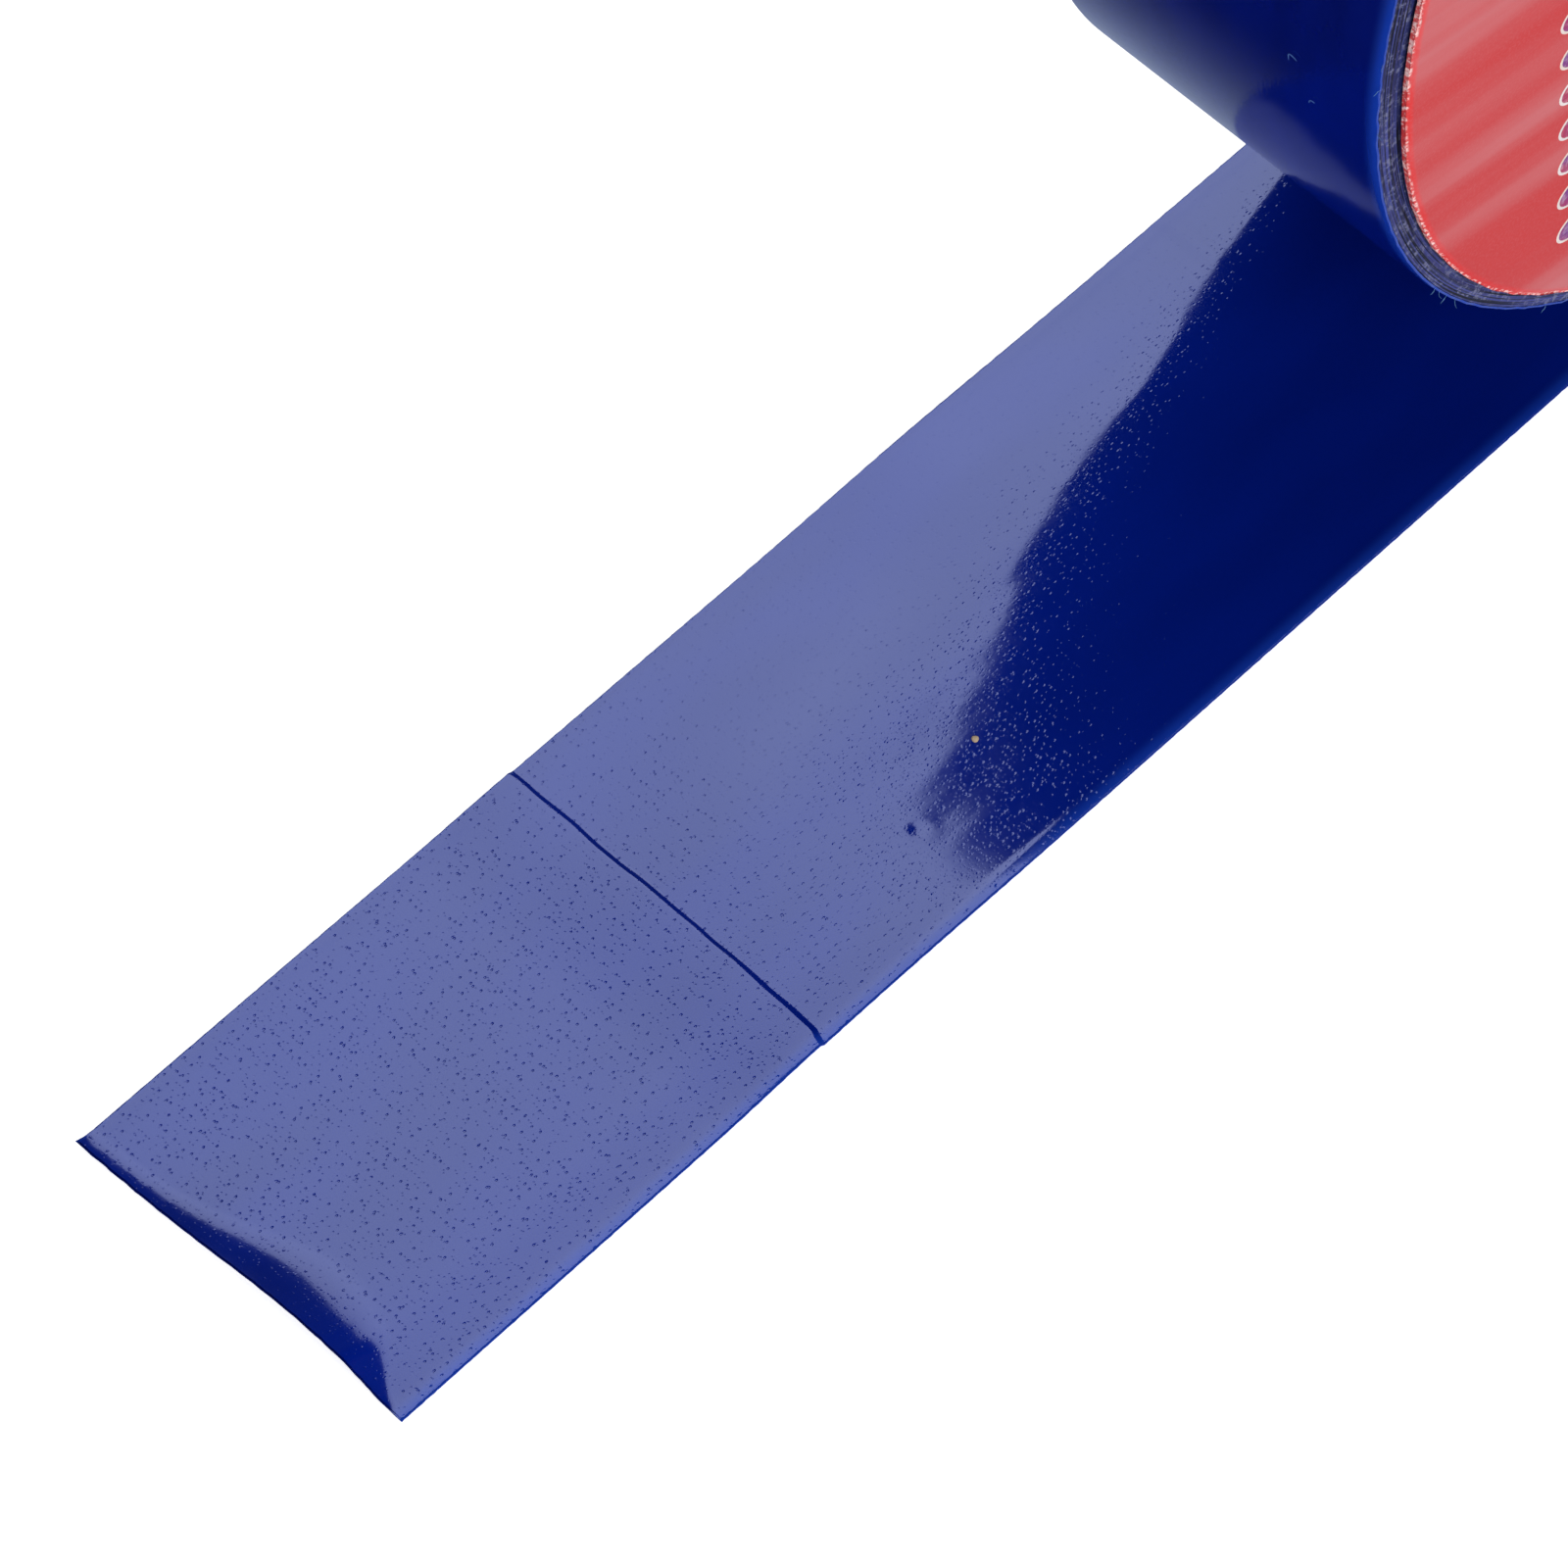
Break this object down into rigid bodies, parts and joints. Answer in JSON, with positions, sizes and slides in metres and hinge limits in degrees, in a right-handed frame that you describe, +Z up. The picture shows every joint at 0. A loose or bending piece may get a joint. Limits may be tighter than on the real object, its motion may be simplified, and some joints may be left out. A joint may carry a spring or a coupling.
{
  "type": "electrical tape roll",
  "caption": "Roll of blue PVC electrical tape on a card core with a red side label, standing on edge with a strip drawn off along the surface, sticky side up.",
  "frame": {"origin": "centre of the core's bore, on the roll's axis, midway between the roll's two sides", "axes": "+Y along the bore away from the labelled side, +Z up with the roll standing on edge, the drawn-off strip runs from the lowest point towards -X with its sticky side up"},
  "size_m": [0.1278, 0.0196, 0.0712],
  "materials": {
    "tape_backing": "satin soft PVC film, navy blue",
    "tape_adhesive": "glossy tacky rubber glue over the navy film, with fine pits",
    "tape_coil": "edges of many wound layers, fine rings, slightly rough",
    "kraft_paper": "plain brown kraft paper",
    "grey_board": "grey-brown recycled board",
    "label_card": "red printed card with a semi-gloss coat",
    "label_glue": "clear yellowish hot-melt glue"
  },
  "bodies": {
    "roll": {"core_liner_ply": "kraft_paper", "core_board_ply": "grey_board", "core_wrap_ply": "kraft_paper", "wound_tape": "tape_coil", "label_glue": "label_glue", "label_card": "label_card"},
    "lead": {"last_turn": "tape_backing", "lead_backing": "tape_backing", "lead_adhesive": "tape_adhesive"},
    "middle": {"middle_backing": "tape_backing", "middle_adhesive": "tape_adhesive"},
    "end": {"end_backing": "tape_backing", "end_adhesive": "tape_adhesive"}
  },
  "joints": [
    {"name": "unwind", "type": "hinge", "parent": "roll", "child": "lead", "pos_m": [0, 0, 0], "axis": [0, 1, 0], "continuous": true},
    {"name": "strip_lift", "type": "hinge", "parent": "lead", "child": "middle", "pos_m": [-0.0265, 0, -0.03547], "axis": [0, 1, 0], "range_deg": [0, 60]},
    {"name": "end_fold", "type": "hinge", "parent": "middle", "child": "end", "pos_m": [-0.0672, 0, -0.03547], "axis": [0, 1, 0], "range_deg": [0, 170]}
  ]
}
